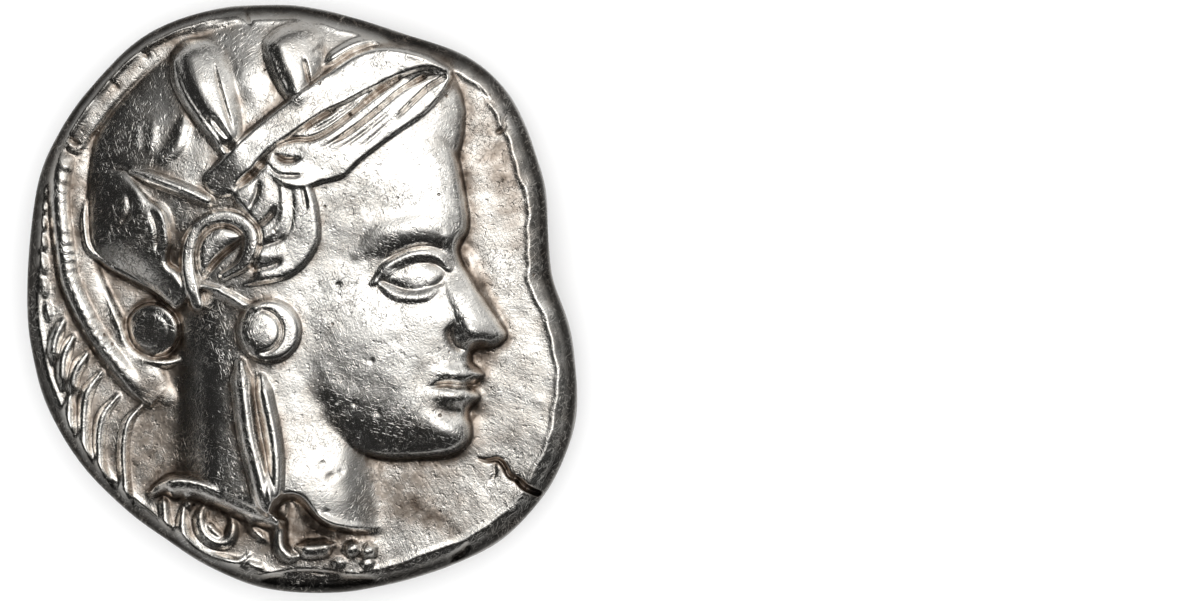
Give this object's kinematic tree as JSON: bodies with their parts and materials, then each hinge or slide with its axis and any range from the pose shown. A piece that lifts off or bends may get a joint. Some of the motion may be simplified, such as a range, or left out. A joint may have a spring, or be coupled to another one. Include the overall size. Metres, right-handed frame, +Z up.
{
  "type": "tetradrachm coin",
  "caption": "Thick, uneven hammer-struck silver coin: helmeted head in high relief on one side, owl with olive sprig in a sunk ground on the other, toned in the recesses.",
  "frame": {"origin": "middle of the coin's outline, on the plane it lies on", "axes": "+Z up through the obverse, +Y towards the top of the helmeted head, so the head looks along +X"},
  "size_m": [0.0234, 0.025, 0.0052],
  "materials": {
    "silver": "struck silver, bright on the worn high places, brown-grey toning in the recesses, dark edge"
  },
  "bodies": {
    "root": {"coin": "silver"}
  },
  "joints": []
}
